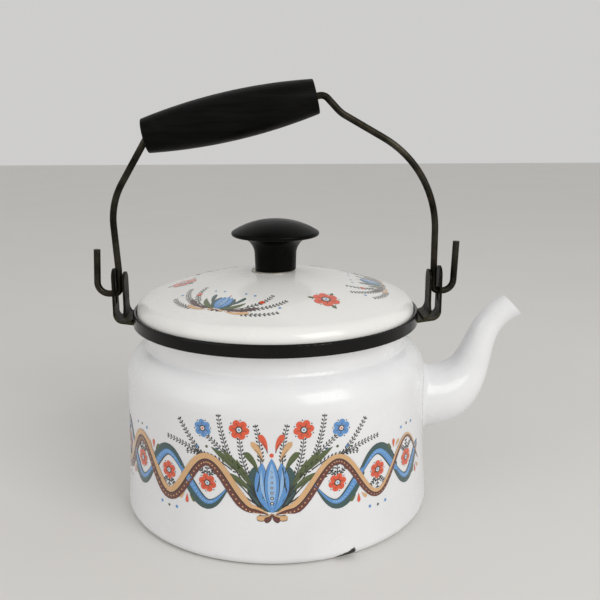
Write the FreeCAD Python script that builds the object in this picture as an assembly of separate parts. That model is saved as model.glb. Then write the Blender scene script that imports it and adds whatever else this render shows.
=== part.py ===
import FreeCAD
import Part
import math
import os

# Enamelled steel stovetop kettle with a swan-neck spout, a lifting lid and a swinging wire bail.
# Millimetres, +Z up. The origin is the centre of the base on the surface it stands on.
# The spout points along +X, and the bail swings about an axis along X.

# Vessel. The bottom is a second pressing, butt-welded to the wall, since the neck is narrower.
WALL = 0.9                 # enamelled sheet
BASE_RADIUS = 88.2
BASE_FILLET = 4.6
BASE_PANEL_RADIUS = 71.0   # centre panel, pressed up off the table
BASE_PANEL_RISE = 1.2
SEAM_HEIGHT = 7.0
WAIST_RADIUS = 86.1
WAIST_HEIGHT = 36.0
WALL_TOP_RADIUS = 85.5
SHOULDER_RADIUS = 18.0
SHOULDER_CORNER_HEIGHT = 90.1
NECK_RADIUS = 74.0
NECK_FOOT_HEIGHT = 95.8
SEAT_UNDERSIDE = 107.8     # underside of the ledge that the lid rests on
MOUTH_RADIUS = 80.7        # outside of the upstand round the mouth
UPSTAND_TOP = 112.6

# Black band rolled over the upstand.
RIM_SHEET = 0.6
RIM_TOP = 114.5
RIM_INNER_BOTTOM = 110.4

# Lid.
LID_RADIUS = 78.8
LID_APEX = 135.2
LID_FLAT_RADIUS = 12.6     # flat seat for the knob
LID_CROWN = (44.0, 132.05)
LID_CROWN_RADIUS = 240.0
LID_SLOPE_END_HEIGHT = 119.7
LID_EDGE_RADIUS = 7.8
LID_HEM_HEIGHT = 109.1     # 0.4 above the seat
LID_HEM_WIDTH = 3.2
LID_SCREW_HOLE = 2.8
SKIRT_RADIUS = 72.2
SKIRT_SHEET = 0.8
SKIRT_BOTTOM = 101.0
SKIRT_TOP = 121.4
SKIRT_FLANGE = 5.7

# Knob and its fixings.
WASHER_THICKNESS = 0.7
WASHER_RADIUS = 12.0
WASHER_HOLE = 4.4
WASHER_SHIFT = -1.7        # it sits off centre on the screw
KNOB_FOOT_RADIUS = 11.6
KNOB_STEM_RADIUS = 12.2    # under the cap; the stem widens a little upwards
KNOB_RADIUS = 25.4
KNOB_EDGE_HEIGHT = 157.1
KNOB_TOP = 164.6
KNOB_DOME_RADIUS = 43.5
INSERT_RADIUS = 4.0
INSERT_LENGTH = 14.0
SCREW_RADIUS = 2.5
SCREW_ENGAGEMENT = 11.0
SCREW_HEAD_RADIUS = 4.6
SCREW_HEAD_HEIGHT = 2.7
SCREW_SLOT = 1.2
UNDER_WASHER_RADIUS = 7.0
UNDER_WASHER_THICKNESS = 1.0

# Ears: a strap welded under the seat, narrowing and bent up, slotted for the wire. A second strap,
# welded on its foot, stands inside it, and the wire comes down between the two. The pair of ears
# and the bail sit a little towards the spout.
EAR_SHIFT = 1.2
EAR_SHEET = 1.3
EAR_START = 77.0
EAR_START_HALF_WIDTH = 14.2
EAR_OUTSIDE = 93.8
EAR_END_HALF_WIDTH = 6.2
EAR_BEND = 5.0
EAR_TOP = 137.0
EAR_GAP = 4.8              # between the two upright plates
EAR_INNER_START = 82.7     # clear of the black band
EAR_INNER_TOP = 135.0
EAR_INNER_BEND = 4.9
PLATE_HALF_WIDTH = 6.5
PLATE_TOP_ROUND = 5.8
PLATE_WIDENING = 112.5     # height below which the plates spread to the width of the foot
SLOT_WIDTH = 5.4
SLOT_BOTTOM = 116.2
SLOT_TOP = 125.4

# Bail. Its ends pass out through the slots and turn up as hooks.
WIRE_RADIUS = 1.9
PIVOT_HEIGHT = 122.4
PIVOT_BEND = 3.0
HOOK_BEND = 6.5
BACK_HOOK = -101.9
SPOUT_HOOK = 102.3
BACK_WIRE_FOOT = -89.2
SPOUT_WIRE_FOOT = 90.95

# Grip: a turned barrel on the straight, tilted part of the wire.
GRIP_BACK_END = (-71.05, 210.6)
GRIP_SPOUT_END = (23.2, 231.6)
GRIP_END_RADIUS = 9.6
GRIP_MIDDLE_RADIUS = 13.3
GRIP_EDGE = 0.9
GRIP_CLEARANCE = 0.1       # running clearance between bore and wire
GRIP_SINK_RADIUS = 5.2     # the bore is countersunk at both ends, where the wire bends
GRIP_SINK_DEPTH = 4.2

# Spout: centre (x, z), outside radius and heading above horizontal of each section.
SPOUT_SECTIONS = (
    ((82.0, 58.6), 20.2, 0.0),
    ((90.0, 58.8), 18.7, 2.0),
    ((99.6, 60.6), 17.6, 9.0),
    ((108.2, 66.3), 15.2, 28.0),
    ((114.4, 76.4), 11.7, 50.0),
    ((118.4, 88.5), 9.3, 62.0),
    ((122.6, 99.6), 8.0, 60.0),
    ((129.6, 108.3), 7.5, 44.0),
    ((138.2, 113.2), 8.1, 42.0),
)
SPOUT_WALL = 1.1


def tangent_path(points, radii):
    """Edges of a line through points in the XZ plane, each corner rounded by its radius."""
    places = [FreeCAD.Vector(x, 0, z) for x, z in points]
    edges = []
    start = places[0]
    for i in range(1, len(places) - 1):
        corner = places[i]
        back = (places[i - 1] - corner).normalize()
        ahead = (places[i + 1] - corner).normalize()
        turn = math.pi - back.getAngle(ahead)
        if radii[i - 1] > 0 and turn > 1e-6:
            reach = radii[i - 1] * math.tan(turn / 2)
            first = corner + back * reach
            last = corner + ahead * reach
            bisector = (back + ahead).normalize()
            middle = corner + bisector * (radii[i - 1] / math.cos(turn / 2) - radii[i - 1])
            add_line(edges, start, first)
            edges.append(Part.Arc(first, middle, last).toShape())
            start = last
        else:
            add_line(edges, start, corner)
            start = corner
    add_line(edges, start, places[-1])
    return edges


def add_line(edges, start, end):
    if start.distanceToPoint(end) > 1e-4:
        edges.append(Part.LineSegment(start, end).toShape())


def parallel_points(points, offset):
    """The same line moved sideways by offset, to the left of its travel when positive."""
    moved = []
    for i in range(len(points)):
        if i == 0 or i == len(points) - 1:
            a = points[max(i - 1, 0)]
            b = points[min(i + 1, len(points) - 1)]
            length = math.hypot(b[0] - a[0], b[1] - a[1])
            side = (-(b[1] - a[1]) / length, (b[0] - a[0]) / length)
            moved.append((points[i][0] + side[0] * offset, points[i][1] + side[1] * offset))
        else:
            before = heading(points[i - 1], points[i])
            after = heading(points[i], points[i + 1])
            middle = (before + after) / 2
            reach = offset / math.cos((after - before) / 2)
            x = points[i][0] - math.sin(middle) * reach
            z = points[i][1] + math.cos(middle) * reach
            moved.append((x, z))
    return moved


def heading(a, b):
    return math.atan2(b[1] - a[1], b[0] - a[0])


def sheet_face(points, radii, thickness):
    """A strip of sheet beside the line through points: its outline in the XZ plane, as a face."""
    inner_radii = []
    for i in range(1, len(points) - 1):
        turn = heading(points[i], points[i + 1]) - heading(points[i - 1], points[i])
        turn = math.atan2(math.sin(turn), math.cos(turn))
        change = -thickness if turn > 0 else thickness
        inner_radii.append(max(radii[i - 1] + change, 0.05))
    inner_points = parallel_points(points, thickness)
    outer = tangent_path(points, radii)
    inner = tangent_path(inner_points, inner_radii)
    ends = []
    for a, b in ((points[0], inner_points[0]), (points[-1], inner_points[-1])):
        add_line(ends, FreeCAD.Vector(a[0], 0, a[1]), FreeCAD.Vector(b[0], 0, b[1]))
    return closed_face(outer + inner + ends)


def closed_face(edges):
    wire = Part.Wire(Part.__sortEdges__(edges))
    return Part.Face(wire)


def turned(face):
    """The solid that a face in the XZ plane makes about the Z axis."""
    return face.revolve(FreeCAD.Vector(0, 0, 0), FreeCAD.Vector(0, 0, 1), 360)


def outline_face(points, radii):
    """A closed outline in the XZ plane. The first corner is sharp, the others take radii."""
    return closed_face(tangent_path(list(points) + [points[0]], radii))


def ring(inside, outside, bottom, top, shift=0.0):
    """A washer or tube round an upright axis at x = shift."""
    at = FreeCAD.Vector(shift, 0, bottom)
    return Part.makeCylinder(outside, top - bottom, at).cut(
        Part.makeCylinder(inside, top - bottom, at)
    )


WALL_LINE = (
    (BASE_RADIUS, SEAM_HEIGHT),
    (WAIST_RADIUS, WAIST_HEIGHT),
    (WALL_TOP_RADIUS, SHOULDER_CORNER_HEIGHT),
    (NECK_RADIUS, NECK_FOOT_HEIGHT),
    (NECK_RADIUS, SEAT_UNDERSIDE),
    (MOUTH_RADIUS, SEAT_UNDERSIDE),
    (MOUTH_RADIUS, UPSTAND_TOP),
)
WALL_ROUNDS = (160.0, SHOULDER_RADIUS, 2.4, 1.6, 1.4)


def body_shell(channel):
    """The wall, shoulder, neck and lid seat, with the opening for the spout."""
    return turned(sheet_face(WALL_LINE, WALL_ROUNDS, WALL)).cut(channel)


def vessel_volume():
    """Everything inside the outer face of the wall, below the neck."""
    line = list(WALL_LINE[:5])
    edges = tangent_path(line, WALL_ROUNDS[:3])
    close = [(NECK_RADIUS, SEAT_UNDERSIDE), (0, SEAT_UNDERSIDE), (0, SEAM_HEIGHT)]
    close.append((BASE_RADIUS, SEAM_HEIGHT))
    edges += tangent_path(close, (0, 0))
    return turned(closed_face(edges))


def base_pan():
    """The pressed bottom: a ring to stand on, a raised centre panel and a short upturned wall."""
    wall_lean = (BASE_RADIUS - WAIST_RADIUS) / (WAIST_HEIGHT - SEAM_HEIGHT)
    line = (
        (0, BASE_PANEL_RISE),
        (BASE_PANEL_RADIUS, BASE_PANEL_RISE),
        (BASE_PANEL_RADIUS + 3.5, 0),
        (BASE_RADIUS + SEAM_HEIGHT * wall_lean, 0),
        (BASE_RADIUS, SEAM_HEIGHT),
    )
    return turned(sheet_face(line, (3.0, 3.0, BASE_FILLET), WALL))


def rim_band():
    """The black band, folded over the upstand with a round top."""
    outside = MOUTH_RADIUS + RIM_SHEET
    inside = MOUTH_RADIUS - WALL - RIM_SHEET
    line = (
        (outside, SEAT_UNDERSIDE),
        (outside, RIM_TOP),
        (inside, RIM_TOP),
        (inside, RIM_INNER_BOTTOM),
    )
    round_top = (outside - inside) / 2
    return turned(sheet_face(line, (round_top, round_top), RIM_SHEET))


def spout_form(inset):
    """The spout's outer form, or its channel when the sections are smaller by inset."""
    middles = [FreeCAD.Vector(x, 0, z) for (x, z), _, _ in SPOUT_SECTIONS]
    centre_line = Part.BSplineCurve()
    centre_line.interpolate(middles)
    sections = []
    for middle, (_, radius, rise) in zip(middles, SPOUT_SECTIONS):
        sections.append(spout_section(middle, radius - inset, math.radians(rise)))
    return Part.Wire(centre_line.toShape()).makePipeShell(sections, True, False)


def spout_section(middle, radius, rise):
    """A circle across the spout. Every one starts at its +Y side, so that the tube has no twist."""
    normal = FreeCAD.Vector(math.cos(rise), 0, math.sin(rise))
    side = FreeCAD.Vector(0, 1, 0)
    circle = Part.Wire(Part.makeCircle(radius))
    turn = FreeCAD.Rotation(side, normal.cross(side), normal, "ZXY")
    circle.Placement = FreeCAD.Placement(middle, turn)
    return circle


def spout(channel):
    """The tapered tube, trimmed to sit on the outside of the wall."""
    return spout_form(0.0).cut(vessel_volume()).cut(channel)


def ear():
    """The ear on the +X side: the slotted outer strap and the inner strap standing on its foot."""
    underside = SEAT_UNDERSIDE - EAR_SHEET
    inner_outside = EAR_OUTSIDE - EAR_SHEET - EAR_GAP
    outer_line = ((EAR_START, underside), (EAR_OUTSIDE, underside), (EAR_OUTSIDE, EAR_TOP))
    inner_line = (
        (EAR_INNER_START, SEAT_UNDERSIDE),
        (inner_outside, SEAT_UNDERSIDE),
        (inner_outside, EAR_INNER_TOP),
    )
    outer = ear_strap(outer_line, EAR_BEND, EAR_TOP).cut(pivot_slot())
    both = outer.fuse(ear_strap(inner_line, EAR_INNER_BEND, EAR_INNER_TOP))
    both.translate(FreeCAD.Vector(EAR_SHIFT, 0, 0))
    return both.removeSplitter()


def ear_strap(line, bend, top):
    """A bent strap, cut to its outline from above and from the front."""
    width = 2 * EAR_START_HALF_WIDTH
    strap = sheet_face(line, (bend,), EAR_SHEET).extrude(FreeCAD.Vector(0, width, 0))
    strap.translate(FreeCAD.Vector(0, -EAR_START_HALF_WIDTH, 0))
    return strap.common(foot_outline()).common(plate_outline(top))


def foot_outline():
    """An upright prism with the ear's outline seen from above, narrowing away from the body."""
    corners = (
        (EAR_START, -EAR_START_HALF_WIDTH),
        (EAR_OUTSIDE, -EAR_END_HALF_WIDTH),
        (EAR_OUTSIDE, EAR_END_HALF_WIDTH),
        (EAR_START, EAR_START_HALF_WIDTH),
    )
    low = SEAT_UNDERSIDE - 2 * EAR_SHEET
    places = [FreeCAD.Vector(x, y, low) for x, y in corners]
    face = Part.Face(Part.makePolygon(places + [places[0]]))
    return face.extrude(FreeCAD.Vector(0, 0, EAR_TOP))


def plate_outline(top):
    """A prism along X with the ear's outline seen from the front: wide below, round at the top."""
    low = SEAT_UNDERSIDE - 2 * EAR_SHEET
    wide = EAR_START_HALF_WIDTH + 1
    shoulder = SEAT_UNDERSIDE + 2 * EAR_SHEET
    half = [(wide, low), (wide, shoulder), (PLATE_HALF_WIDTH, PLATE_WIDENING)]
    half += [(PLATE_HALF_WIDTH, top)]
    other = [(-y, z) for y, z in reversed(half)]
    rounds = (0, 1.0, 6.0, PLATE_TOP_ROUND, PLATE_TOP_ROUND, 6.0, 1.0, 0)
    face = outline_face([(0, low)] + half + other, rounds)
    face.rotate(FreeCAD.Vector(0, 0, 0), FreeCAD.Vector(0, 0, 1), 90)
    return face.extrude(FreeCAD.Vector(EAR_OUTSIDE + 10, 0, 0))


def pivot_slot():
    """The upright slot that the bail's pivot sits in."""
    radius = SLOT_WIDTH / 2
    low = SLOT_BOTTOM + radius
    high = SLOT_TOP - radius
    along = FreeCAD.Vector(1, 0, 0)
    start = EAR_OUTSIDE - 2 * EAR_SHEET
    length = 4 * EAR_SHEET
    slot = Part.makeBox(length, SLOT_WIDTH, high - low, FreeCAD.Vector(start, -radius, low))
    for z in (low, high):
        end = Part.makeCylinder(radius, length, FreeCAD.Vector(start, 0, z), along)
        slot = slot.fuse(end)
    return slot


def back_ear():
    """The same ear turned half round, kept the same small step towards the spout."""
    other = ear()
    other.rotate(FreeCAD.Vector(EAR_SHIFT, 0, 0), FreeCAD.Vector(0, 0, 1), 180)
    return other


def bail_wire():
    """One bent wire from hook tip to hook tip, straight where the grip sits."""
    line = (
        (-100.7, 148.0),
        (BACK_HOOK, PIVOT_HEIGHT),
        (BACK_WIRE_FOOT, PIVOT_HEIGHT),
        (BACK_WIRE_FOOT, 136.0),
        (-91.4, 173.9),
        beyond_grip(GRIP_BACK_END, GRIP_SPOUT_END, -1.8),
        beyond_grip(GRIP_SPOUT_END, GRIP_BACK_END, 4.4),
        (36.6, 222.8),
        (90.8, 192.0),
        (SPOUT_WIRE_FOOT, PIVOT_HEIGHT),
        (SPOUT_HOOK, PIVOT_HEIGHT),
        (103.3, 151.2),
    )
    rounds = (HOOK_BEND, PIVOT_BEND, 30.0, 42.0, 4.0, 5.0, 18.0, 60.0, PIVOT_BEND, HOOK_BEND)
    edges = tangent_path(line, rounds)
    path = Part.Wire(edges)
    start = FreeCAD.Vector(line[0][0], 0, line[0][1])
    ahead = FreeCAD.Vector(line[1][0], 0, line[1][1]) - start
    section = Part.Wire(Part.Circle(start, ahead, WIRE_RADIUS).toShape())
    return path.makePipeShell([section], True, False)


def beyond_grip(end, other, distance):
    """A point on the grip's axis, this far outside one of its ends."""
    length = math.hypot(end[0] - other[0], end[1] - other[1])
    x = end[0] + (end[0] - other[0]) / length * distance
    z = end[1] + (end[1] - other[1]) / length * distance
    return (x, z)


def grip():
    """The barrel, turned about Z and then laid along its axis."""
    length = math.hypot(
        GRIP_SPOUT_END[0] - GRIP_BACK_END[0], GRIP_SPOUT_END[1] - GRIP_BACK_END[1]
    )
    bore = WIRE_RADIUS + GRIP_CLEARANCE
    low = FreeCAD.Vector(GRIP_END_RADIUS, 0, GRIP_EDGE)
    high = FreeCAD.Vector(GRIP_END_RADIUS, 0, length - GRIP_EDGE)
    belly = Part.Arc(low, FreeCAD.Vector(GRIP_MIDDLE_RADIUS, 0, length / 2), high).toShape()
    edge = GRIP_END_RADIUS - GRIP_EDGE
    ends = [(GRIP_END_RADIUS, length - GRIP_EDGE), (GRIP_END_RADIUS, length), (edge, length)]
    ends += [(GRIP_SINK_RADIUS, length), (bore, length - GRIP_SINK_DEPTH)]
    ends += [(bore, GRIP_SINK_DEPTH), (GRIP_SINK_RADIUS, 0)]
    ends += [(GRIP_END_RADIUS, 0), (GRIP_END_RADIUS, GRIP_EDGE)]
    rounds = (GRIP_EDGE, 0, 0, 0, 0, 0, GRIP_EDGE)
    barrel = turned(closed_face([belly] + tangent_path(ends, rounds)))
    axis = FreeCAD.Vector(
        GRIP_SPOUT_END[0] - GRIP_BACK_END[0], 0, GRIP_SPOUT_END[1] - GRIP_BACK_END[1]
    )
    turn = FreeCAD.Rotation(FreeCAD.Vector(0, 0, 1), axis)
    at = FreeCAD.Vector(GRIP_BACK_END[0], 0, GRIP_BACK_END[1])
    barrel.Placement = FreeCAD.Placement(at, turn)
    return barrel


LID_LINE = (
    (0, LID_APEX),
    (LID_FLAT_RADIUS, LID_APEX),
    LID_CROWN,
    (LID_RADIUS, LID_SLOPE_END_HEIGHT),
    (LID_RADIUS, LID_HEM_HEIGHT),
    (LID_RADIUS - LID_HEM_WIDTH, LID_HEM_HEIGHT),
)
LID_ROUNDS = (30.0, LID_CROWN_RADIUS, LID_EDGE_RADIUS, 1.6)


def lid_shell():
    """The dome, its rounded edge and the hem that rests on the seat."""
    hole = Part.makeCylinder(LID_SCREW_HOLE, 10, FreeCAD.Vector(0, 0, LID_APEX - 5))
    return turned(sheet_face(LID_LINE, LID_ROUNDS, -WALL)).cut(hole)


def lid_volume():
    """Everything above the dome's underside, to trim what is welded to it."""
    line = parallel_points(LID_LINE[:4], -WALL)
    line[0] = (0, LID_APEX - WALL)
    edges = tangent_path(line, (30.0 + WALL, LID_CROWN_RADIUS - WALL))
    far = line[-1]
    close = [far, (far[0], LID_APEX + 10), (0, LID_APEX + 10), line[0]]
    return turned(closed_face(edges + tangent_path(close, (0, 0))))


def lid_skirt():
    """The ring that keeps the lid central in the neck, with a flange spot-welded to the dome."""
    slope = heading(LID_CROWN, LID_LINE[3])
    flange_end = (
        SKIRT_RADIUS - SKIRT_FLANGE * math.cos(slope),
        SKIRT_TOP - SKIRT_FLANGE * math.sin(slope),
    )
    line = ((SKIRT_RADIUS, SKIRT_BOTTOM), (SKIRT_RADIUS, SKIRT_TOP), flange_end)
    return turned(sheet_face(line, (1.2,), SKIRT_SHEET)).cut(lid_volume())


def knob():
    """The mushroom knob, with a socket for its insert."""
    foot = LID_APEX + WASHER_THICKNESS
    socket_top = foot + INSERT_LENGTH
    outline = (
        (INSERT_RADIUS, foot),
        (KNOB_FOOT_RADIUS, foot),
        (KNOB_STEM_RADIUS, 153.4),
        (24.3, 155.4),
        (KNOB_RADIUS, KNOB_EDGE_HEIGHT),
        (13.5, KNOB_TOP),
        (0, KNOB_TOP),
        (0, socket_top),
        (INSERT_RADIUS, socket_top),
    )
    return turned(outline_face(outline, (0.4, 10.0, 1.2, 1.3, KNOB_DOME_RADIUS, 0, 0, 0)))


def knob_washer():
    return ring(
        WASHER_HOLE, WASHER_RADIUS, LID_APEX, LID_APEX + WASHER_THICKNESS, WASHER_SHIFT
    )


def knob_insert():
    """The threaded sleeve that the knob is moulded round."""
    foot = LID_APEX + WASHER_THICKNESS
    return ring(SCREW_RADIUS, INSERT_RADIUS, foot, foot + INSERT_LENGTH)


def screw_washer():
    top = LID_APEX - WALL
    return ring(SCREW_RADIUS + 0.2, UNDER_WASHER_RADIUS, top - UNDER_WASHER_THICKNESS, top)


def knob_screw():
    """The slotted screw, put in from under the lid."""
    seat = LID_APEX - WALL - UNDER_WASHER_THICKNESS
    tip = LID_APEX + WASHER_THICKNESS + SCREW_ENGAGEMENT
    shank = (
        (0, seat - SCREW_HEAD_HEIGHT),
        (SCREW_HEAD_RADIUS, seat - SCREW_HEAD_HEIGHT),
        (SCREW_HEAD_RADIUS, seat),
        (SCREW_RADIUS, seat),
        (SCREW_RADIUS, tip),
        (0, tip),
    )
    screw = turned(outline_face(shank, (1.1, 0, 0, 0.6, 0)))
    slot = Part.makeBox(
        2 * SCREW_HEAD_RADIUS + 2,
        SCREW_SLOT,
        1.4,
        FreeCAD.Vector(-SCREW_HEAD_RADIUS - 1, -SCREW_SLOT / 2, seat - SCREW_HEAD_HEIGHT),
    )
    return screw.cut(slot)


def main():
    os.makedirs("parts", exist_ok=True)
    channel = spout_form(SPOUT_WALL)
    parts = {
        "body_shell": body_shell(channel),
        "base_pan": base_pan(),
        "rim_band": rim_band(),
        "spout": spout(channel),
        "ear_spout": ear(),
        "ear_back": back_ear(),
        "bail_wire": bail_wire(),
        "grip": grip(),
        "lid_shell": lid_shell(),
        "lid_skirt": lid_skirt(),
        "knob": knob(),
        "knob_washer": knob_washer(),
        "knob_insert": knob_insert(),
        "screw_washer": screw_washer(),
        "knob_screw": knob_screw(),
    }
    for name, shape in parts.items():
        if not shape.isValid() or len(shape.Solids) != 1:
            raise ValueError(f"{name}: valid {shape.isValid()}, solids {len(shape.Solids)}")
        print(name, round(shape.Volume, 1))
        shape.Solids[0].exportStep(f"parts/{name}.step")


main()
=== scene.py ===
"""An enamelled stovetop kettle: materials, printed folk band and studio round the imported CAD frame."""

import cmath
import math

import bpy
from mathutils import Matrix, Vector
from mathutils.bvhtree import BVHTree


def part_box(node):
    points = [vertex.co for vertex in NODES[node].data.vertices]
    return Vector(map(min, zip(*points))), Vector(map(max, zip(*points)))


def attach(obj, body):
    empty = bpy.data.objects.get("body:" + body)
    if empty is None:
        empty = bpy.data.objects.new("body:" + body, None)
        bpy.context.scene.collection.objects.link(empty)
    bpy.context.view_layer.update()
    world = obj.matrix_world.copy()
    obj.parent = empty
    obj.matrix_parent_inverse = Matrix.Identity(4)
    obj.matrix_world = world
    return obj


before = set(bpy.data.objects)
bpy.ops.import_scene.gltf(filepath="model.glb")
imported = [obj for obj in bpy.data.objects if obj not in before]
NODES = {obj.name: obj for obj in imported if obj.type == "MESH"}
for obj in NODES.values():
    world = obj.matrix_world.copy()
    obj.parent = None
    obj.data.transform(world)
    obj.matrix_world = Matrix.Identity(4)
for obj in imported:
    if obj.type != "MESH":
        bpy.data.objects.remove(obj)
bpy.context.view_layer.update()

MM = 0.001
RAGGEDNESS = 0.8        # how far a chip's edge wanders, as a share of its radius


# ---------------------------------------------------------------- node helpers

class Graph:
    """A material's node tree, with short calls for the nodes that the materials share."""

    def __init__(self, name):
        self.material = bpy.data.materials.new(name)
        self.material.use_nodes = True
        self.nodes = self.material.node_tree.nodes
        self.links = self.material.node_tree.links
        self.shader = self.nodes["Principled BSDF"]
        self.place = self.nodes.new("ShaderNodeTexCoord").outputs["Object"]

    def set(self, **sockets):
        for name, value in sockets.items():
            self.shader.inputs[name.replace("_", " ")].default_value = value

    def link(self, source, socket):
        self.links.new(source, self.shader.inputs[socket])

    def stretched(self, scale, turn=(0, 0, 0)):
        node = self.nodes.new("ShaderNodeMapping")
        node.inputs["Scale"].default_value = scale
        node.inputs["Rotation"].default_value = turn
        self.links.new(self.place, node.inputs["Vector"])
        return node.outputs["Vector"]

    def noise(self, scale, detail=3.0, rough=0.5, vector=None):
        node = self.nodes.new("ShaderNodeTexNoise")
        node.inputs["Scale"].default_value = scale
        node.inputs["Detail"].default_value = detail
        node.inputs["Roughness"].default_value = rough
        self.links.new(vector or self.place, node.inputs["Vector"])
        return node.outputs["Fac"]

    def cells(self, scale):
        node = self.nodes.new("ShaderNodeTexVoronoi")
        node.inputs["Scale"].default_value = scale
        self.links.new(self.place, node.inputs["Vector"])
        return node.outputs["Distance"]

    def ramp(self, value, stops):
        node = self.nodes.new("ShaderNodeValToRGB")
        ends = node.color_ramp.elements
        while len(ends) < len(stops):
            ends.new(0.5)
        for element, (place, colour) in zip(ends, stops):
            element.position = place
            shade = colour if isinstance(colour, tuple) else (colour, colour, colour)
            element.color = (*shade, 1)
        self.links.new(value, node.inputs["Fac"])
        return node.outputs["Color"]

    def mix(self, amount, a, b):
        node = self.nodes.new("ShaderNodeMix")
        node.data_type = "RGBA"
        self.feed(node.inputs[0], amount)
        self.feed(node.inputs[6], a)
        self.feed(node.inputs[7], b)
        return node.outputs[2]

    def math(self, kind, a, b):
        node = self.nodes.new("ShaderNodeMath")
        node.operation = kind
        self.feed(node.inputs[0], a)
        self.feed(node.inputs[1], b)
        return node.outputs[0]

    def feed(self, socket, value):
        if isinstance(value, bpy.types.NodeSocket):
            self.links.new(value, socket)
        elif isinstance(value, tuple):
            socket.default_value = (*value, 1)
        else:
            socket.default_value = value

    def bump(self, height, strength, distance, before=None):
        node = self.nodes.new("ShaderNodeBump")
        node.inputs["Strength"].default_value = strength
        node.inputs["Distance"].default_value = distance
        self.links.new(height, node.inputs["Height"])
        if before is not None:
            self.links.new(before, node.inputs["Normal"])
        return node.outputs["Normal"]

    def near(self, point, radius, wobble):
        """1 inside a ball round a point, 0 outside, its edge made ragged by a wobble of about one."""
        node = self.nodes.new("ShaderNodeVectorMath")
        node.operation = "DISTANCE"
        self.links.new(self.place, node.inputs[0])
        node.inputs[1].default_value = point
        wander = self.math("MULTIPLY", wobble, radius * RAGGEDNESS)
        away = self.math("ADD", node.outputs["Value"], wander)
        return self.math("LESS_THAN", away, radius)

    def height(self):
        """Height above the floor, in metres."""
        node = self.nodes.new("ShaderNodeSeparateXYZ")
        self.links.new(self.place, node.inputs[0])
        return node.outputs["Z"]


# ---------------------------------------------------------------- materials

WHITE = (0.825, 0.830, 0.840)
LID_WHITE = (0.835, 0.830, 0.800)
BARE_CHIP = (0.012, 0.011, 0.011)
FOOT_BRONZE = (0.042, 0.037, 0.020)
EAR_FOOT_HEIGHT = 0.1125    # metres: the ears are bronze below this, where they spread to their feet
GRIP_END_RADIUS = 0.0096    # metres
CHIP_INSET = 0.99           # the chip's balls are centred just inside the base's edge

# Distance along the base's edge from the front, height and radius of each ball, in millimetres.
BASE_CHIPS = (
    (30.2, 0.9, 0.8),
    (31.6, 1.1, 1.2),
    (33.2, 1.3, 1.5),
    (34.9, 1.5, 1.7),
    (36.6, 1.8, 1.8),
    (38.2, 2.2, 1.9),
    (39.6, 2.9, 1.9),
    (40.3, 4.6, 0.9),
    (40.2, 6.0, 0.7),
)


def enamel(name, colour, chips=()):
    """Fired white enamel: a glassy coat with slow ripples, faint grime and a few dark specks.

    chips are balls, each a point and a radius, inside which the enamel is lost.
    """
    g = Graph(name)
    g.set(Roughness=0.20, IOR=1.45, Coat_Weight=0.25, Coat_Roughness=0.10)
    dull = tuple(c * 0.93 for c in colour)
    shade = g.mix(g.ramp(g.noise(22.0, 4.0), ((0.35, 0.0), (0.75, 1.0))), colour, dull)
    grime = g.ramp(g.noise(9.0, 6.0, 0.65), ((0.60, 0.0), (0.80, 0.35)))
    shade = g.mix(grime, shade, tuple(c * k for c, k in zip(colour, (0.86, 0.83, 0.76))))
    speck = g.ramp(g.cells(95.0), ((0.035, 1.0), (0.05, 0.0)))
    thin = g.ramp(g.noise(31.0, 2.0), ((0.66, 0.0), (0.70, 1.0)))
    speck = g.math("MULTIPLY", speck, thin)
    shade = g.mix(speck, shade, (0.18, 0.15, 0.13))
    rough = g.ramp(g.noise(60.0, 5.0, 0.6), ((0.3, 0.17), (0.8, 0.34)))
    ripples = g.bump(g.noise(38.0, 2.0), 0.10, 0.0012)
    peel = g.bump(g.noise(420.0, 2.0), 0.05, 0.0002, ripples)
    if chips:
        wobble = g.math("SUBTRACT", g.noise(300.0, 4.0, 0.6), 0.5)
        bare, ring = 0.0, 0.0
        for point, radius in chips:
            bare = g.math("MAXIMUM", g.near(point, radius, wobble), bare)
            ring = g.math("MAXIMUM", g.near(point, radius * 1.18, wobble), ring)
        shade = g.mix(ring, shade, (0.30, 0.27, 0.24))
        shade = g.mix(bare, shade, BARE_CHIP)
        rough = g.mix(bare, rough, (0.7, 0.7, 0.7))
    g.link(shade, "Base Color")
    g.link(rough, "Roughness")
    g.link(peel, "Normal")
    return g.material


def black_enamel():
    """Glossy black enamel on the rim, with a faint cloudy tone and fine dust."""
    g = Graph("black_enamel")
    g.set(IOR=1.27)
    cloud = g.ramp(g.noise(35.0, 5.0), ((0.4, 0.0), (0.8, 1.0)))
    shade = g.mix(cloud, (0.0018, 0.0018, 0.0022), (0.0060, 0.0056, 0.0052))
    dust = g.ramp(g.noise(240.0, 6.0, 0.7), ((0.64, 0.0), (0.82, 0.4)))
    shade = g.mix(dust, shade, (0.022, 0.020, 0.018))
    g.link(shade, "Base Color")
    g.link(g.ramp(g.noise(75.0, 5.0, 0.65), ((0.3, 0.07), (0.8, 0.24))), "Roughness")
    g.link(g.bump(g.noise(120.0, 3.0), 0.12, 0.0006), "Normal")
    return g.material


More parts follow.
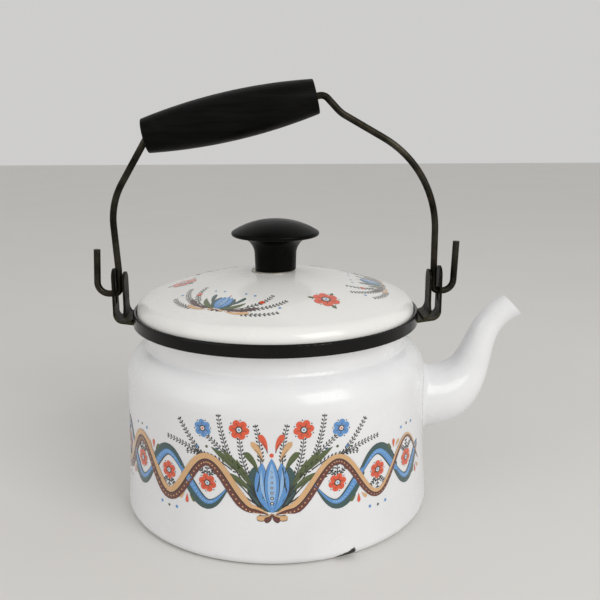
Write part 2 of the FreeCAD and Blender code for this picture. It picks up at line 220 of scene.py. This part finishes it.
def dark_steel(name, dark, worn, rusty, metal, foot_height=0.0):
    """Blackened steel, worn to bronze, brown and grey. Below foot_height most of it is bronze."""
    g = Graph(name)
    g.set(Metallic=metal, IOR=1.18)
    wear = g.ramp(g.noise(70.0, 6.0, 0.65), ((0.40, 0.0), (0.66, 1.0)))
    shade = g.mix(wear, dark, worn)
    rust = g.ramp(g.noise(150.0, 5.0, 0.7), ((0.58, 0.0), (0.72, 0.7)))
    shade = g.mix(rust, shade, rusty)
    rub = g.ramp(g.noise(33.0, 4.0), ((0.57, 0.0), (0.74, 0.5)))
    shade = g.mix(rub, shade, tuple(c * 2.6 for c in worn))
    if foot_height:
        ragged = g.math("MULTIPLY", g.noise(200.0, 4.0, 0.6), 0.004)
        low = g.math("LESS_THAN", g.math("ADD", g.height(), ragged), foot_height)
        shade = g.mix(g.math("MULTIPLY", low, 0.8), shade, FOOT_BRONZE)
    g.link(shade, "Base Color")
    g.link(g.ramp(g.noise(190.0, 6.0, 0.7), ((0.3, 0.34), (0.75, 0.62))), "Roughness")
    drawn = g.bump(g.noise(900.0, 2.0, 0.5, g.stretched((1.0, 1.0, 0.05))), 0.18, 0.0002)
    g.link(g.bump(g.noise(260.0, 5.0, 0.7), 0.3, 0.0003, drawn), "Normal")
    return g.material


def grip_wood(axis_turn):
    """Turned wood under worn satin black lacquer: grain shows as fine ridges along the barrel."""
    g = Graph("grip_wood")
    g.set(IOR=1.16)
    grain = g.noise(420.0, 4.0, 0.6, g.stretched((0.06, 1.0, 1.0), axis_turn))
    fine = g.noise(1400.0, 3.0, 0.6, g.stretched((0.04, 1.0, 1.0), axis_turn))
    ridge = g.ramp(grain, ((0.4, 0.0), (0.7, 1.0)))
    shade = g.mix(ridge, (0.0012, 0.0013, 0.0013), (0.0046, 0.0044, 0.0040))
    rub = g.ramp(g.noise(45.0, 6.0, 0.65), ((0.60, 0.0), (0.78, 0.5)))
    shade = g.mix(rub, shade, (0.012, 0.0105, 0.009))
    g.link(shade, "Base Color")
    g.link(g.ramp(g.noise(110.0, 6.0, 0.7), ((0.3, 0.30), (0.75, 0.50))), "Roughness")
    g.link(g.bump(fine, 0.22, 0.0003, g.bump(grain, 0.25, 0.0006)), "Normal")
    return g.material


def knob_black():
    """Moulded phenolic: deep black, polished, with hairline scratches and a little dust."""
    g = Graph("knob_black")
    g.set(IOR=1.15)
    cloud = g.ramp(g.noise(60.0, 5.0), ((0.4, 0.0), (0.8, 1.0)))
    shade = g.mix(cloud, (0.0012, 0.0012, 0.0011), (0.0034, 0.0032, 0.0028))
    dust = g.ramp(g.noise(600.0, 6.0, 0.75), ((0.66, 0.0), (0.80, 0.35)))
    g.link(g.mix(dust, shade, (0.022, 0.021, 0.019)), "Base Color")
    g.link(g.ramp(g.noise(90.0, 5.0, 0.7), ((0.3, 0.24), (0.8, 0.42))), "Roughness")
    scratch = g.noise(700.0, 3.0, 0.6, g.stretched((1.0, 0.08, 0.3), (0, 0, 0.6)))
    g.link(g.bump(scratch, 0.08, 0.0002), "Normal")
    return g.material


def plain_metal(name, colour, low, high):
    """Small turned or stamped fixings: brushed rings and slight tarnish."""
    g = Graph(name)
    g.set(Metallic=1.0)
    dark = tuple(c * 0.62 for c in colour)
    tarnish = g.ramp(g.noise(220.0, 5.0, 0.6), ((0.4, 0.0), (0.75, 1.0)))
    g.link(g.mix(tarnish, colour, dark), "Base Color")
    g.link(g.ramp(g.noise(500.0, 4.0, 0.6), ((0.3, low), (0.8, high))), "Roughness")
    g.link(g.bump(g.noise(1500.0, 2.0, 0.5, g.stretched((1.0, 1.0, 0.1))), 0.15, 0.0001), "Normal")
    return g.material


def dress(node, material):
    """Gives a CAD node this material in every slot."""
    mesh = NODES[node].data
    if not mesh.materials:
        mesh.materials.append(material)
    for i in range(len(mesh.materials)):
        mesh.materials[i] = material


def base_chips():
    """One ragged sliver of lost enamel: overlapping balls along the base's edge, right of the front."""
    low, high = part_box("base_pan")
    radius = (high[0] - low[0]) / 2
    inset = radius * CHIP_INSET
    chips = []
    for along, height, size in BASE_CHIPS:
        turn = along * MM / radius - math.pi / 2
        place = (inset * math.cos(turn), inset * math.sin(turn), height * MM)
        chips.append((place, size * MM))
    return chips


def dress_all():
    """Gives each CAD node its material."""
    white = enamel("white_enamel", WHITE, base_chips())
    lid_white = enamel("lid_enamel", LID_WHITE)
    wire_steel = dark_steel(
        "wire_steel",
        dark=(0.010, 0.0095, 0.0070),
        worn=(0.045, 0.041, 0.030),
        rusty=(0.060, 0.034, 0.018),
        metal=0.85,
    )
    ear_steel = dark_steel(
        "ear_steel",
        dark=(0.0035, 0.0034, 0.0022),
        worn=(0.012, 0.0108, 0.0065),
        rusty=(0.050, 0.030, 0.015),
        metal=0.20,
        foot_height=EAR_FOOT_HEIGHT,
    )
    bare = plain_metal("bare_steel", (0.46, 0.44, 0.38), 0.28, 0.5)
    low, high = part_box("grip")
    tilt = math.atan2(high[2] - low[2] - 2 * GRIP_END_RADIUS, high[0] - low[0])
    finishes = {
        "body_shell": white,
        "base_pan": white,
        "spout": white,
        "rim_band": black_enamel(),
        "ear_spout": ear_steel,
        "ear_back": ear_steel,
        "bail_wire": wire_steel,
        "grip": grip_wood((0, tilt, 0)),
        "lid_shell": lid_white,
        "lid_skirt": lid_white,
        "knob": knob_black(),
        "knob_washer": bare,
        "knob_insert": plain_metal("brass", (0.66, 0.47, 0.20), 0.25, 0.45),
        "screw_washer": bare,
        "knob_screw": bare,
    }
    for node, material in finishes.items():
        dress(node, material)


# ---------------------------------------------------------------- printed decoration
# Points of the pattern are complex numbers in millimetres: real along the band, imaginary up it.

FRONT_SHIFT = math.radians(-1.93)   # the print's centre lies a little off the middle of the side
BAND_RADIUS = 86.1                  # wall radius at mid-band
LID_PRINT_RADIUS = 52.0             # circle that the lid's posies and flowers stand on
PRINT_LIFT = 0.09                   # the lowest layer's height off the enamel
LAYER_LIFT = 0.018                  # the height of each layer over the one below
SLOPE_REACH = 1.5                   # the enamel's slope is read this far to each side of a point
SIDE_START = 0.2                    # metres from the axis, outside the wall and the spout's root
TOP_START = 0.3                     # metres above the floor, over the lid

INK_COLOURS = {
    "blue": (0.105, 0.300, 0.640),
    "sky": (0.300, 0.500, 0.780),
    "teal": (0.030, 0.085, 0.085),
    "brown": (0.135, 0.032, 0.022),
    "tan": (0.700, 0.420, 0.200),
    "orange": (0.760, 0.095, 0.032),
    "olive": (0.085, 0.115, 0.032),
    "black": (0.016, 0.018, 0.016),
    "cream": (0.800, 0.790, 0.740),
}


def arc(start, end, bend=0.0, steps=8):
    """Points from start to end on an arc that turns by bend degrees, anticlockwise if positive."""
    half = math.radians(bend or 0.01) / 2
    points = []
    for i in range(steps + 1):
        t = i / steps
        reach = math.sin(half * t) / math.sin(half)
        points.append(start + (end - start) * reach * cmath.exp(1j * half * (t - 1)))
    return points


# Share of a stroke's full width at each place along it, from 0 at its foot to 1 at its tip.
STROKES = {
    "band": lambda t: min(1.0, 0.12 + 9 * t),
    "line": lambda t: 1.0 - 0.6 * t,
    "leaf": lambda t: math.sin(math.pi * t) ** 0.8,
    "comma": lambda t: 2.46 * t ** 1.2 * (1 - t) ** 0.4,
    "tail": lambda t: (1 - t) ** 0.6 * min(1.0, 0.12 + 9 * t),
}


class Brush:
    """Lays flat strokes on a pattern sheet, through the places of the motifs that it is inside."""

    def __init__(self, sheets, place=lambda point: point, mirrored=False):
        self.sheets = sheets
        self.place = place
        self.mirrored = mirrored

    def at(self, origin, turn=0.0, mirror=False, size=1.0):
        spin = cmath.rect(size, math.radians(turn))

        def place(point):
            return self.place(origin + spin * (-point.conjugate() if mirror else point))

        return Brush(self.sheets, place, self.mirrored != mirror)

    def lay(self, colour, points, rings, layer):
        known, faces = self.sheets.setdefault(colour, ([], []))
        first = len(known)
        known.extend((self.place(point), layer) for point in points)
        for ring in rings:
            faces.append([first + i for i in (ring[::-1] if self.mirrored else ring)])

    def stroke(self, colour, spine, width, shape="leaf", layer=0, left=1.0, right=1.0):
        """A stroke along a spine. left and right are the shares of its half width that are painted."""
        points = []
        last = len(spine) - 1
        for i, point in enumerate(spine):
            ahead = spine[min(i + 1, last)] - spine[max(i - 1, 0)]
            half = max(0.05, width / 2 * STROKES[shape](i / last))
            across = 1j * ahead / abs(ahead) * half
            points += [point + across * left, point - across * right]
        rings = [(2 * i, 2 * i + 1, 2 * i + 3, 2 * i + 2) for i in range(last)]
        self.lay(colour, points, rings, layer)

    def outlined(self, colour, spine, width, shape="leaf", layer=0, rim=0.8):
        """A stroke with a dark line showing all round it."""
        self.stroke("black", spine, width + rim, shape, layer)
        self.stroke(colour, spine, width, shape, layer + 1)

    def dot(self, colour, centre, radius, layer=0, sides=12, lobes=0):
        """A round dot, or a scalloped one where lobes are asked for."""
        points = [centre]
        for i in range(sides):
            turn = 2 * math.pi * i / sides
            scallop = 0.70 + 0.30 * abs(math.cos(lobes * turn / 2)) ** 0.6 if lobes else 1.0
            points.append(centre + cmath.rect(radius * scallop, turn))
        rings = [(0, 1 + i, 1 + (i + 1) % sides) for i in range(sides)]
        self.lay(colour, points, rings, layer)


def blossom(brush, colour, centre, radius, turn=0.0):
    """A plain lobed flower with a dark ring, a pale eye and a seed between each two lobes."""
    flower = brush.at(centre, turn)
    flower.dot(colour, 0, radius, 4, 60, 6)
    for i in range(6):
        out = cmath.rect(radius, math.radians(60 * i))
        flower.stroke("brown", arc(out * 0.40, out * 0.72, 0, 2), 0.42, "line", 5)
        flower.dot("black", out * cmath.rect(0.98, math.radians(30)), 0.33, 5, 8)
    flower.dot("black", 0, radius * 0.36, 6, 16)
    flower.dot("cream", 0, radius * 0.24, 7, 14)
    flower.dot("blue" if colour == "orange" else "orange", 0, radius * 0.12, 8, 10)


def fern(brush, start, end, bend, leaf=2.1, spacing=1.9, bare=0.25):
    """A fine stem with small paired leaflets along it, bare near its foot."""
    length = abs(end - start)
    count = int(length * (1 - bare) / spacing)
    brush.stroke("black", arc(start, end, bend, 24), 0.70, "line", 2)
    steps = 240
    path = arc(start, end, bend, steps)
    for k in range(count + 1):
        i = int(steps * (bare + (1 - bare) * k / max(count, 1)))
        ahead = path[min(i + 1, steps)] - path[min(i, steps - 1)]
        ahead /= abs(ahead)
        shrink = 1.0 - 0.35 * k / max(count, 1)
        for side in (1, -1):
            out = ahead * cmath.rect(1.0, math.radians(42 * side))
            foot = path[i] + out * 0.55
            brush.stroke("black", arc(foot, foot + out * leaf * shrink, -20 * side, 4), 0.78, "leaf", 2)
    tip = path[steps]
    brush.stroke("black", arc(tip, tip + ahead * leaf * 0.9, 0, 4), 0.6, "leaf", 2)


def tulip(brush, height, width):
    """The middle motif: a tulip of layered petals with a dotted heart, on two small scrolls."""
    top = 1j * height
    line = width * 0.05
    for mirror in (False, True):
        side = brush.at(0, mirror=mirror)
        outer = arc(0.4 + 0j, width * 0.50 + top * 0.92, 64, 14)
        inner = arc(0.2 + 0j, width * 0.27 + top * 0.99, 40, 14)
        side.outlined("teal", outer, width * 0.44, "leaf", 0, line)
        side.outlined("blue", inner, width * 0.44, "leaf", 2, line)
        side.stroke("sky", inner[3:-2], width * 0.10, "leaf", 4)
        long_scroll = arc(0.2 - 0.4j, width * 0.46 - height * 0.10j, 80, 10)
        side.outlined("tan", long_scroll, width * 0.15, "comma", 0, line)
        short_scroll = arc(0.1 - 0.8j, width * 0.24 - height * 0.17j, 70, 8)
        side.outlined("brown", short_scroll, width * 0.13, "comma", 2, line)
    brush.outlined("blue", arc(0j, top * 1.08, 0, 14), width * 0.42, "leaf", 5, line)
    brush.stroke("sky", arc(top * 0.10, top * 0.98, 0, 12), width * 0.25, "leaf", 7)
    for i in range(7):
        size = width * (0.058 - 0.0055 * i)
        brush.dot("black", top * (0.18 + 0.105 * i), size, 8, 12)
        brush.dot("cream", top * (0.18 + 0.105 * i), size * 0.5, 9, 10)
    brush.dot("orange", top * 1.14, width * 0.065, 1, 12)


def plume(brush):
    """The sprays at one side of the tulip: three coloured commas, leaves, ferns and two flowers."""
    for foot, tip, colour, width in (
        (2.0 + 61j, 6.2 + 70.5j, "orange", 3.0),
        (4.2 + 56j, 10.2 + 66.5j, "tan", 3.0),
        (6.4 + 50j, 13.6 + 61.0j, "olive", 3.2),
    ):
        brush.stroke(colour, arc(foot, tip, -34, 10), width, "comma", 4)
        brush.stroke("black", arc(foot, foot * 0.35 + tip * 0.65, -20, 6), 0.4, "line", 5)
    fern(brush, 4 + 33j, 16 + 71j, 34, bare=0.45)
    fern(brush, 4 + 33j, 26.5 + 78j, 40, bare=0.42)
    fern(brush, 5 + 32j, 35 + 69j, -30, bare=0.40)
    fern(brush, 5 + 32j, 49 + 73j, 26, bare=0.42)
    fern(brush, 6 + 31j, 57 + 62.5j, -52, bare=0.45)
    fern(brush, 8 + 38j, 7.5 + 74j, -30, bare=0.5)
    fern(brush, 20 + 51j, 44 + 57.5j, -46, bare=0.2)
    for foot, tip, bend in (
        (9.5 + 43j, 17.5 + 57j, 26),
        (13.5 + 46.5j, 24.5 + 61j, -22),
        (17.5 + 50.5j, 31 + 62j, -20),
        (10.5 + 40.5j, 24 + 49.5j, -30),
    ):
        brush.stroke("olive", arc(foot, tip, bend, 10), 3.1, "leaf", 3)
        brush.stroke("black", arc(foot, foot * 0.3 + tip * 0.7, bend * 0.7, 6), 0.35, "line", 4)
    blossom(brush, "orange", 16 + 72.5j, 5.2, 8)
    blossom(brush, "blue", 35.5 + 71.2j, 4.7, 22)


def wave(along, first, half, middle, swing):
    """Height of the scrolling stem at a place along the band: it crests over the first hollow."""
    return middle + swing * math.cos(math.pi * (along - first) / half)


def scroll(brush, reach, first, half, hollows, tapered):
    """The running stem with flowers and leaf scrolls in its hollows, at one side of the tulip."""
    middle, swing = 43.0, 12.0
    start = first - half
    steps = int((reach - start) / 1.6)
    line = []
    for i in range(steps + 1):
        along = start + (reach - start) * i / steps
        line.append(complex(along, wave(along, first, half, middle, swing)))
    line = arc(2.0 + 28.5j, line[0], -22, 4)[:-1] + line
    shape = "tail" if tapered else "band"
    brush.stroke("brown", line, 6.8, shape, 8)
    brush.stroke("tan", line, 6.8, shape, 9, 1.0, -0.12)
    brush.stroke("black", line, 0.45, shape, 10)
    for i in range(2, len(line) - 1):
        ahead = line[i + 1] - line[i]
        across = 1j * ahead / abs(ahead)
        fade = 1.0 if not tapered else (1 - i / len(line)) ** 0.7
        brush.dot("tan", line[i] - across * 1.6 * fade, 0.34 * fade + 0.08, 10, 8)
    for k in range(hollows):
        hollow = brush.at(complex(first + half * k, middle))
        under = -1 if k % 2 == 0 else 1
        tail = -0.58 if k == 0 else -0.80
        curl = []
        for i in range(23):
            across = half * (tail + (0.62 - tail) * i / 22)
            curl.append(complex(across, under * swing * math.cos(math.pi * across / half)))
        near, far = (0.86, 0.0) if under < 0 else (0.0, 0.86)
        hollow.stroke("black", curl, 7.0, "comma", 4)
        hollow.stroke("teal", curl, 6.4, "comma", 5)
        hollow.stroke("blue", curl, 6.4, "comma", 6, near, far)
        for point in curl[9:-2]:
            hollow.dot("sky", point * 0.90, 0.42, 7, 8)
        for side in (1, -1):
            foot = complex(side * 1.2, under * -3.4)
            tip = complex(side * 6.4, under * -7.6)
            fern(hollow, foot, tip, 36 * side * under, 1.5, 1.4, 0.1)
        fern(hollow, complex(0, under * -3.4), complex(0, under * -8.4), 0, 1.5, 1.4, 0.2)
        blossom(hollow, "orange", 0.6j * under, 4.9, 12 + 17 * k)
        joint = brush.at(complex(first + half * (k + 0.5), middle))
        # The fifth hollow lies on the seam, so the other panel draws the cluster that follows it.
        clusters = () if k == 4 else ("olive", "orange", "tan")
        for j, colour in enumerate(clusters):
            lean = -3.4 + 3.4 * j
            foot = complex(lean * 0.5, 9.0 * under)
            tip = complex(lean * 1.5, (14.0 - abs(lean) * 0.5) * under)
            joint.stroke(colour, arc(foot, tip, -14 * (j - 1) * under, 8), 1.9, "comma", 5)
        for side in (1, -1):
            brush.dot("blue", complex(first + half * k + side * 5.5, middle + under * -18.2), 0.85, 0, 12)
        brush.dot("olive", complex(first + half * k, middle + under * -18.8), 0.75, 0, 12)


def band(sheets):
    """The print round the body: a tulip and its sprays at the front and the back, scrolls between."""
    seam = BAND_RADIUS * (math.pi / 2 + FRONT_SHIFT)
    first = 33.5
    half = (seam - first) / 4
    back = -2 * seam
    for origin, seam_side in ((0, True), (back, False)):
        panel = Brush(sheets).at(origin)
        tulip(panel.at(29.5j), 26.5, 17.0)
        for mirror in (False, True):
            wing = panel.at(0, mirror=mirror)
            plume(wing)
            if mirror == seam_side:
                scroll(wing, seam, first, half, 5 if origin == 0 else 4, False)
            else:
                scroll(wing, first + 2.75 * half, first, half, 3, True)


def posy(brush):
    """A lid spray: a small tulip between leaf commas, with ferns running out both ways."""
    tulip(brush.at(-8.5j), 12.0, 8.4)
    for mirror in (False, True):
        side = brush.at(0, mirror=mirror)
        side.stroke("olive", arc(1.5 - 9j, 12 - 1j, 40, 10), 2.8, "leaf", 3)
        side.stroke("brown", arc(3 - 9j, 19 - 5j, 46, 10), 2.6, "comma", 2)
        side.stroke("tan", arc(4 - 10j, 16 - 10j, 50, 10), 2.2, "comma", 3)
        side.stroke("teal", arc(3 - 6j, 10 + 4.5j, 30, 10), 2.4, "comma", 2)
        fern(side, 3 - 9j, 32 + 1j, 38, 2.0, 1.9, 0.25)
        fern(side, 5 - 9j, 25 + 7j, 46, 2.0, 1.9, 0.35)
        fern(side, 6 - 10j, 27 - 10j, 40, 1.8, 1.8, 0.3)
        for place in (8.0 + 9j, 14.5 + 7.5j, 29 - 5j):
            side.dot("blue", place, 0.8, 0)
        side.dot("orange", 20 + 0.5j, 1.5, 4)


def lid_print(sheets):
    """Three posies and three flowers by turns round the knob."""
    for i in range(3):
        brush = Brush(sheets)
        posy(brush.at(LID_PRINT_RADIUS * math.radians(120 * i)))
        flower = brush.at(LID_PRINT_RADIUS * math.radians(120 * i + 60))
        blossom(flower, "orange", 0j, 7.2, 10)
        for turn in (30, 150, 270):
            out = cmath.rect(1.0, math.radians(turn))
            flower.stroke("olive", arc(out * 6.0, out * 10.0, 20, 6), 2.0, "leaf", 0)


def node_tree(*names):
    """A search tree over CAD nodes' surfaces, to lay the print on."""
    points, faces = [], []
    for name in names:
        mesh = NODES[name].data
        first = len(points)
        points += [vertex.co.copy() for vertex in mesh.vertices]
        faces += [[first + i for i in face.vertices] for face in mesh.polygons]
    return BVHTree.FromPolygons(points, faces)


def wall_caster():
    """Gives a function from a point of the band to its place on the wall."""
    tree = node_tree("body_shell")

    def cast(point):
        angle = FRONT_SHIFT - math.pi / 2 + point.real / BAND_RADIUS
        out = Vector((math.cos(angle), math.sin(angle), 0))
        start = out * SIDE_START + Vector((0, 0, point.imag * MM))
        return tree.ray_cast(start, -out)[0]

    return cast


def lid_caster():
    """Gives a function from a point of the lid's pattern to its place on the dome."""
    tree = node_tree("lid_shell")

    def cast(point):
        angle = point.real / LID_PRINT_RADIUS
        radius = (LID_PRINT_RADIUS - point.imag) * MM
        start = Vector((radius * math.cos(angle), radius * math.sin(angle), TOP_START))
        return tree.ray_cast(start, Vector((0, 0, -1)))[0]

    return cast


def smooth_piece(name, places, normals, faces, material):
    """An open mesh whose shading follows the enamel that it lies on."""
    mesh = bpy.data.meshes.new(name)
    mesh.from_pydata(places, [], faces)
    mesh.shade_smooth()
    mesh.normals_split_custom_set_from_vertices(normals)
    mesh.materials.append(material)
    piece = bpy.data.objects.new(mesh.name, mesh)
    bpy.context.scene.collection.objects.link(piece)
    return piece


def lay_print(prefix, body, sheets, cast):
    """Makes one piece per ink, each point lifted off the enamel by its layer."""
    for colour, (points, faces) in sheets.items():
        places, normals = [], []
        for point, layer in points:
            along = cast(point + SLOPE_REACH) - cast(point - SLOPE_REACH)
            across = cast(point + 1j * SLOPE_REACH) - cast(point - 1j * SLOPE_REACH)
            normal = along.cross(across).normalized()
            normals.append(normal)
            places.append(cast(point) + normal * (PRINT_LIFT + LAYER_LIFT * layer) * MM)
        piece = smooth_piece(f"{prefix}_{colour}", places, normals, faces, INKS[colour])
        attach(piece, body)


def ink(colour):
    """Fired print: the same glassy coat as the enamel, with stippled shading and worn pinholes."""
    base = INK_COLOURS[colour]
    g = Graph(f"ink_{colour}")
    g.set(IOR=1.52, Coat_Weight=0.6, Coat_Roughness=0.05)
    dark = tuple(c * 0.55 for c in base)
    stipple = g.ramp(g.cells(1300.0), ((0.22, 1.0), (0.34, 0.0)))
    patch = g.ramp(g.noise(130.0, 2.0), ((0.42, 0.0), (0.62, 0.8)))
    shade = g.mix(g.math("MULTIPLY", stipple, patch), base, dark)
    cloud = g.ramp(g.noise(60.0, 4.0), ((0.35, 0.0), (0.75, 0.5)))
    shade = g.mix(cloud, shade, tuple(c * 0.8 + 0.02 for c in base))
    pinholes = g.ramp(g.cells(420.0), ((0.05, 1.0), (0.08, 0.0)))
    worn = g.ramp(g.noise(45.0), ((0.6, 0.0), (0.64, 1.0)))
    shade = g.mix(g.math("MULTIPLY", pinholes, worn), shade, WHITE)
    g.link(shade, "Base Color")
    g.link(g.ramp(g.noise(60.0, 5.0, 0.6), ((0.3, 0.12), (0.8, 0.28))), "Roughness")
    g.link(g.bump(g.noise(38.0, 2.0), 0.10, 0.0012), "Normal")
    return g.material


INKS = {colour: ink(colour) for colour in INK_COLOURS}


def decorate():
    """Lays the print on the body and the lid, and the fillet at the spout's root."""
    body_sheets, lid_sheets = {}, {}
    band(body_sheets)
    lid_print(lid_sheets)
    lay_print("band", "kettle", body_sheets, wall_caster())
    lay_print("lid_print", "lid", lid_sheets, lid_caster())
    spout_fillet()


FILLET_AXIS_HEIGHT = 0.0588     # metres: height of the spout's axis at its root
FILLET_ROOT_RADIUS = 0.0190     # metres: the spout's outer radius where it meets the wall
FILLET_REACH = 0.0030           # metres: how far the fillet spreads over the wall and the spout
FILLET_TOP_REACH = 0.0024       # metres: how much more it spreads over the top of the joint
FILLET_LIFT = 0.00004           # metres: its height off the enamel
TUBE_START = 0.06               # metres from the spout's axis, outside its root
FILLET_TURNS = 96
FILLET_STEPS = 8


def spout_fillet():
    """The pool of enamel that rounds the joint between the wall and the spout's root."""
    wall, tube = node_tree("body_shell"), node_tree("spout")
    axis = Vector((0, 0, FILLET_AXIS_HEIGHT))
    places, normals, faces = [], [], []
    for i in range(FILLET_TURNS):
        turn = 2 * math.pi * i / FILLET_TURNS
        out = Vector((0, math.cos(turn), math.sin(turn)))
        reach = FILLET_REACH + FILLET_TOP_REACH * max(0.0, out.z)
        start = axis + out * (FILLET_ROOT_RADIUS + reach) + Vector((SIDE_START, 0, 0))
        on_wall, wall_normal = wall.ray_cast(start, Vector((-1, 0, 0)))[:2]
        wall_radius = math.hypot(on_wall.x, on_wall.y)
        joint_x = math.sqrt(wall_radius ** 2 - (FILLET_ROOT_RADIUS * out.y) ** 2)
        start = Vector((joint_x + reach, 0, FILLET_AXIS_HEIGHT)) + out * TUBE_START
        on_tube, tube_normal = tube.ray_cast(start, -out)[:2]
        joint = Vector((joint_x, on_tube.y, on_tube.z))
        for k in range(FILLET_STEPS + 1):
            t = k / FILLET_STEPS
            place = on_wall * (1 - t) ** 2 + joint * 2 * t * (1 - t) + on_tube * t ** 2
            normal = (wall_normal * (1 - t) + tube_normal * t).normalized()
            places.append(place + normal * FILLET_LIFT)
            normals.append(normal)
            if k < FILLET_STEPS:
                a = i * (FILLET_STEPS + 1) + k
                b = (i + 1) % FILLET_TURNS * (FILLET_STEPS + 1) + k
                faces.append((a, b, b + 1, a + 1))
    enamel_material = NODES["body_shell"].data.materials[0]
    piece = smooth_piece("spout_fillet", places, normals, faces, enamel_material)
    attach(piece, "kettle")


# ---------------------------------------------------------------- studio

def studio():
    """A plain pale floor, an even pale sky and two soft lights."""
    mesh = bpy.data.meshes.new("floor")
    half = 3.0
    corners = [(-half, -half, 0), (half, -half, 0), (half, half, 0), (-half, half, 0)]
    mesh.from_pydata(corners, [], [(0, 1, 2, 3)])
    floor = bpy.data.objects.new("floor", mesh)
    bpy.context.scene.collection.objects.link(floor)
    g = Graph("floor")
    g.link(g.mix(g.noise(6.0, 3.0), (0.70, 0.685, 0.660), (0.74, 0.725, 0.700)), "Base Color")
    g.set(Roughness=0.75)
    mesh.materials.append(g.material)

    world = bpy.data.worlds.new("studio")
    world.use_nodes = True
    world.node_tree.nodes["Background"].inputs["Color"].default_value = (0.88, 0.875, 0.865, 1)
    world.node_tree.nodes["Background"].inputs["Strength"].default_value = 0.70
    bpy.context.scene.world = world

    softbox("key_right", (0.70, -0.90, 0.80), 0.75, 7.2, (1.0, 0.995, 0.985))
    softbox("fill_left", (-0.90, -0.60, 0.55), 0.8, 1.6, (1.0, 0.99, 0.98))


def softbox(name, place, size, power, colour):
    """A square soft light aimed at the middle of the kettle."""
    data = bpy.data.lights.new(name, "AREA")
    data.shape = "SQUARE"
    data.size = size
    data.energy = power
    data.color = colour
    lamp = bpy.data.objects.new(name, data)
    lamp.location = place
    aim = Vector((0, 0, 0.1)) - Vector(place)
    lamp.rotation_euler = aim.to_track_quat("-Z", "Y").to_euler()
    bpy.context.scene.collection.objects.link(lamp)


def camera():
    """The camera stands 0.45 m in front of the kettle's axis, above the grip's underside."""
    place = Vector((0.0, -0.4496, 0.2243))
    yaw, pitch, roll = (math.radians(a) for a in (1.77, 13.36, -0.16))
    data = bpy.data.cameras.new("camera")
    data.sensor_width = 36.0
    data.lens = 48.0
    data.clip_start = 0.01
    view = bpy.data.objects.new("camera", data)
    turn = Matrix.Rotation(-yaw, 4, "Z") @ Matrix.Rotation(math.pi / 2 - pitch, 4, "X")
    view.matrix_world = Matrix.Translation(place) @ turn @ Matrix.Rotation(roll, 4, "Z")
    bpy.context.scene.collection.objects.link(view)
    bpy.context.scene.camera = view


bpy.context.scene.view_settings.view_transform = "Standard"
camera()
studio()
dress_all()
decorate()
